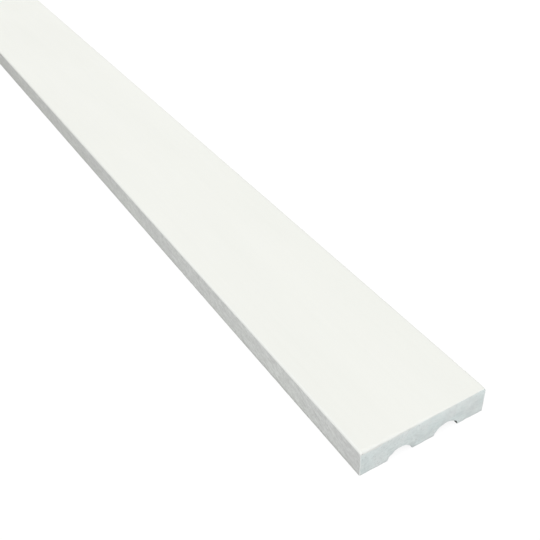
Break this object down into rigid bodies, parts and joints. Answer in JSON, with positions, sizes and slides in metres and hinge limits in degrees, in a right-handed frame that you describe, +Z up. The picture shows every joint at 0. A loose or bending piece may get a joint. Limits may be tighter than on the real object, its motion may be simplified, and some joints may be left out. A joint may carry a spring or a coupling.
{
  "type": "fibre cement trim board",
  "caption": "Long rectangular trim board with a smooth primed face, eased long edges, saw-cut square ends and round relief grooves along its back.",
  "frame": {"origin": "centre of the bounding box's bottom face: the middle of the back, on the centre foot between the two grooves", "axes": "+X along the board's length, +Y across its width, +Z up out of the face, with the board lying on its back"},
  "size_m": [2.44, 0.089, 0.019],
  "materials": {
    "primed_fibre_cement": "fibre cement, primed matt white on the face, pale grey where it is sawn or left bare"
  },
  "bodies": {
    "root": {"trim_board": "primed_fibre_cement"}
  },
  "joints": []
}
